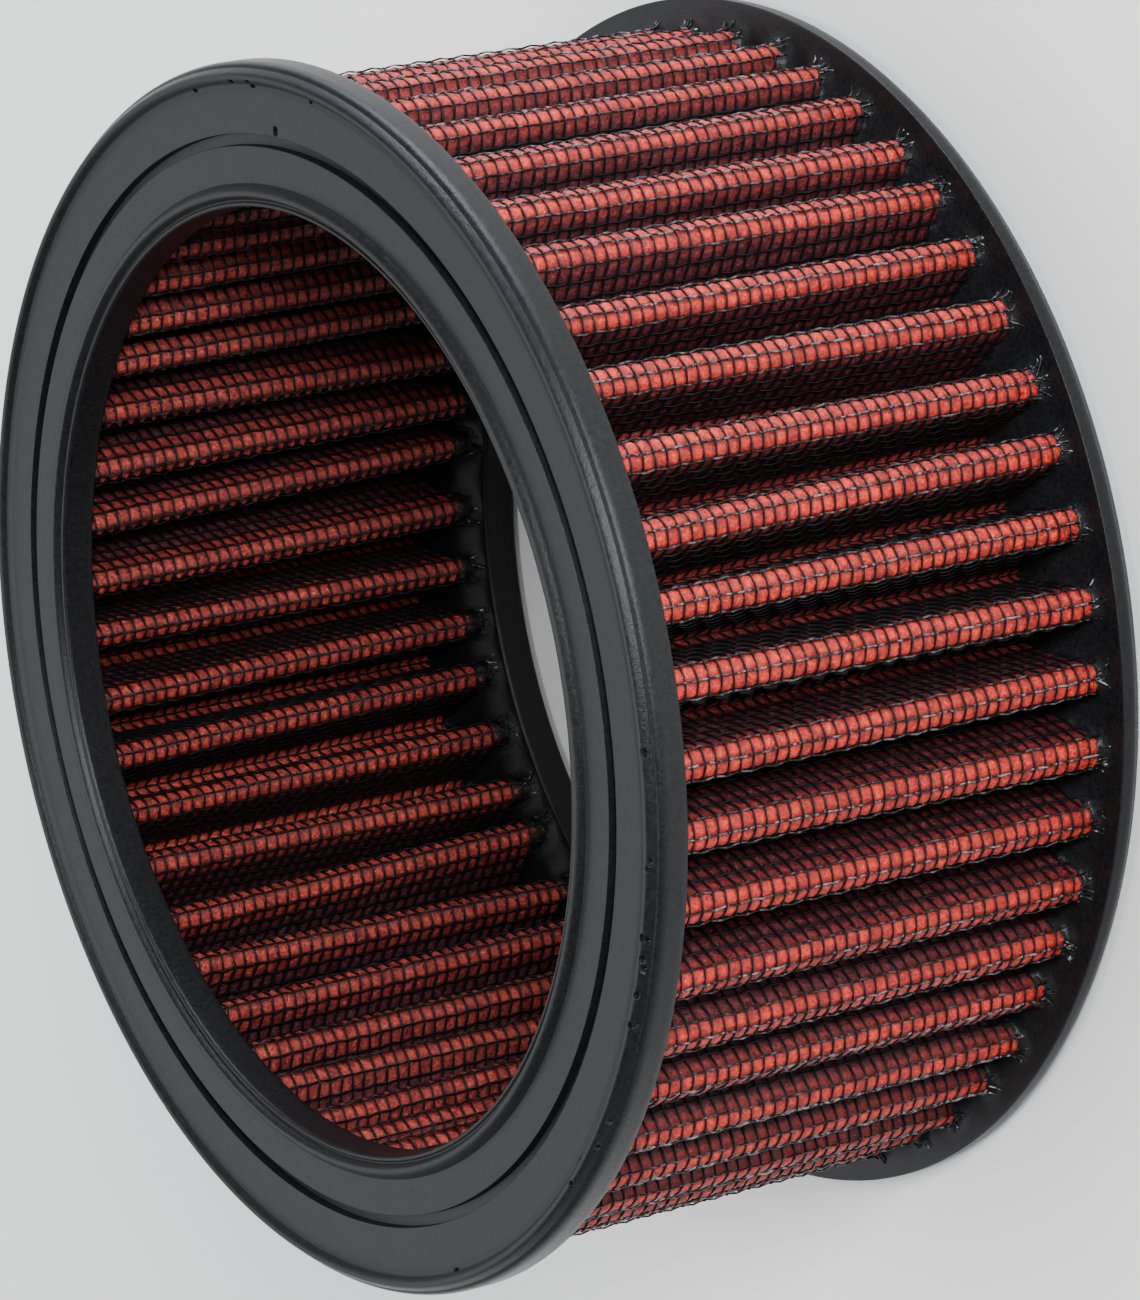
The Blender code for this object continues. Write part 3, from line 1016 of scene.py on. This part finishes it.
def build_screen(side, face, seed, hoop_parts, sides, steps, hoop_wire, upright_wire):
    """A screen's wires, in a few pieces each way so that no mesh is too large."""
    layer = Layer(face * SCREEN_DEPTH)
    node = f"{side}_wire_screen"
    for index, rows in enumerate(split_ranges(HOOPS, hoop_parts), 1):
        name = f"{side}_hoop_wires_{index}"
        wires = hoop_wires(name, layer, rows, sides, steps, seed, face)
        finish_piece(wires, "wire_screen", hoop_wire, node)
    for index, columns in enumerate(split_ranges(CELLS, 2), 1):
        name = f"{side}_upright_wires_{index}"
        wires = upright_wires(name, layer, columns, sides, seed, face)
        finish_piece(wires, "wire_screen", upright_wire, node)


def build_screens():
    hoop_wire = wire_material("black_hoop_wire", gloss=0.40)
    upright_wire = wire_material("glinting_upright_wire", gloss=0.20)
    build_screen("outer", OUTSIDE, OUTER_WEAVE, hoop_parts=5, sides=5, steps=3,
                 hoop_wire=hoop_wire, upright_wire=upright_wire)
    build_screen("inner", INSIDE, INNER_WEAVE, hoop_parts=3, sides=4, steps=2,
                 hoop_wire=hoop_wire, upright_wire=upright_wire)


def build_gauze():
    # Painted shade: what the red is multiplied by down the pleat walls, which turns it to
    # maroon; the lighter stop at the outer valley floors is painted light, and the inner sheet's
    # wall multiplier is painted shade too
    dark = (0.17, 0.60, 2.2)
    valley_floor_light = (0.55, 1.7, 4.2)
    inside = (0.22, 0.42, 0.80)
    outer = gauze_material(
        "outer_gauze", wick_fold=4.3 * MM, wick_valley=6.0 * MM, shade_beside_wire=(0.34, 0.20, 0.24),
        pleat_shade=[(0.08, WHITE), (0.25, dark), (0.80, dark), (0.93, valley_floor_light)],
        shade_tone=WHITE)
    # The inner gauze is a darker, duller copy of the same cloth: painted shade inside the ring
    inner = gauze_material(
        "inner_gauze", wick_fold=9.0 * MM, wick_valley=8.0 * MM, shade_beside_wire=(0.28, 0.20, 0.24),
        pleat_shade=[(0.10, WHITE), (0.25, inside), (0.60, inside), (0.86, WHITE)],
        shade_tone=(0.66, 1.9, 3.6))
    sheets = []
    for index, cells in enumerate(split_ranges(CELLS, 3), 1):
        name = f"gauze_ply_outer_{index}"
        piece = gauze_sheet(name, OUTSIDE, cells, cell_steps=(3, 3), seed=OUTER_WEAVE)
        sheets.append((*piece, outer, "gauze_ply_1"))
    piece = plain_sheet("gauze_ply_middle_a", MIDDLE_PLY_FRONT, MIDDLE_PLY_BACK)
    sheets.append((*piece, outer, "gauze_ply_2"))
    piece = plain_sheet("gauze_ply_middle_b", -MIDDLE_PLY_BACK, -MIDDLE_PLY_FRONT)
    sheets.append((*piece, outer, "gauze_ply_3"))
    piece = gauze_sheet(
        "gauze_ply_inner", INSIDE, range(CELLS), cell_steps=(2, 2), seed=INNER_WEAVE)
    sheets.append((*piece, inner, "gauze_ply_4"))
    for sheet, length, material, node in sheets:
        finish_piece(sheet, "oiled_gauze", material, node)


def build_caps():
    satin = cap_material("satin_urethane")
    front_land = HEIGHT - LAND_DROP
    front = moulded_cap(
        "moulded_front_cap", front_land, 1, FRONT_POTTING, segments=700, potted_rows=18, end=1)
    cut_pits(front, bubble_pits(front_land))
    finish_piece(front, "end_cap_rubber", satin, "front_end_cap")
    rear = moulded_cap(
        "moulded_rear_cap", LAND_DROP, -1, REAR_POTTING, segments=740, potted_rows=34, end=-1)
    finish_piece(rear, "end_cap_rubber", satin, "rear_end_cap")


def build_clip():
    clip = seam_clip("folded_seam_clip")
    finish_piece(clip, "clip_metal", clip_material("drawn_steel"), "seam_clip")


def build_wire_ends():
    material = wire_end_material("glinting_wire_ends")
    ends = wire_ends("outer_wire_ends", OUTSIDE, count=7, fold=0.0,
                     flange_height=LAND_DROP + REAR_POTTING.rim, reach=1.1 * MM)
    finish_piece(ends, "wire_screen", material, "outer_wire_screen")
    ends = wire_ends("inner_wire_ends", INSIDE, count=5, fold=0.5,
                     flange_height=LAND_DROP + 4.6 * MM, reach=0.8 * MM)
    finish_piece(ends, "wire_screen", material, "inner_wire_screen")


# ---------------------------------------------------------------- stage

FLOOR_SIZE = 3.0

# The camera: fitted to the circles of the two caps in the photograph
VIEW_ELEVATION = math.radians(32.14)
VIEW_ROLL = -1.7724
VIEW_DISTANCE = 0.7682
VIEW_SHIFT = (-0.00245, 0.00179)
VIEW_AIM = Vector((0.0, 0.0, 0.03256))
LENS = 177.8

# The studio round the element: how high each colour lies, from 0 level to 1 overhead
SKY = [
    (0.10, (0.62, 0.63, 0.64)), (0.20, (0.22, 0.26, 0.33)), (0.80, (0.07, 0.08, 0.10)),
]


def build_floor():
    bpy.ops.mesh.primitive_plane_add(size=FLOOR_SIZE)
    floor = bpy.context.object
    floor.name = "floor"
    nodes = Nodes("pale_floor")
    colour = nodes.ramp(nodes.noise(6.0), [(0.3, grey(0.86)), (0.7, grey(0.90))])
    nodes.set(Base_Color=colour, Roughness=0.7)
    floor.data.materials.append(nodes.material)


def area_light(name, place, aim, size, power, colour=WHITE):
    data = bpy.data.lights.new(name, "AREA")
    data.shape = "RECTANGLE"
    data.size, data.size_y = size
    data.energy = power
    data.color = colour
    light = bpy.data.objects.new(name, data)
    direction = Vector(aim) - Vector(place)
    light.rotation_euler = direction.to_track_quat("-Z", "Y").to_euler()
    light.location = place
    bpy.context.scene.collection.objects.link(light)


def build_world():
    """A pale band along the horizon, dimmer walls, and dark overhead."""
    world = bpy.data.worlds.new("studio")
    bpy.context.scene.world = world
    world.use_nodes = True
    tree = world.node_tree
    coordinates = tree.nodes.new("ShaderNodeTexCoord")
    split = tree.nodes.new("ShaderNodeSeparateXYZ")
    ramp = tree.nodes.new("ShaderNodeValToRGB")
    tree.links.new(coordinates.outputs["Generated"], split.inputs[0])
    tree.links.new(split.outputs[2], ramp.inputs["Fac"])
    elements = ramp.color_ramp.elements
    elements.new(0.5)
    for element, (position, colour) in zip(elements, SKY):
        element.position = position
        element.color = (*colour, 1.0)
    tree.links.new(ramp.outputs["Color"], tree.nodes["Background"].inputs["Color"])


def build_lights():
    build_world()
    area_light("key", (0.20, -0.92, 0.52), (0, 0, 0.03), (0.30, 0.30), 18.5)
    area_light("side", (0.95, -0.15, 0.10), (0, 0, 0.03), (0.7, 0.14), 14.0, (0.80, 0.90, 1.0))
    area_light("backdrop", (0.0, 1.25, 0.80), (0, 0, 0.05), (2.0, 0.9), 8.0)
    area_light("overhead", (0.0, 0.35, 1.4), (0, 0.1, 0.0), (1.2, 1.2), 24.0)


def build_camera():
    forward = Vector((0.0, math.cos(VIEW_ELEVATION), -math.sin(VIEW_ELEVATION)))
    level = Vector((1.0, 0.0, 0.0))
    upright = level.cross(forward)
    right = math.cos(VIEW_ROLL) * level + math.sin(VIEW_ROLL) * upright
    up = -math.sin(VIEW_ROLL) * level + math.cos(VIEW_ROLL) * upright
    place = VIEW_AIM - forward * VIEW_DISTANCE - right * VIEW_SHIFT[0] - up * VIEW_SHIFT[1]
    data = bpy.data.cameras.new("camera")
    data.lens = LENS
    data.sensor_width = 36.0
    data.clip_start = 0.01
    camera = bpy.data.objects.new("camera", data)
    axes = Matrix((right, up, -forward)).transposed().to_4x4()
    camera.matrix_world = Matrix.Translation(place) @ axes
    bpy.context.scene.collection.objects.link(camera)
    bpy.context.scene.camera = camera


build_screens()
build_gauze()
build_caps()
build_clip()
build_wire_ends()
build_floor()
build_lights()
build_camera()
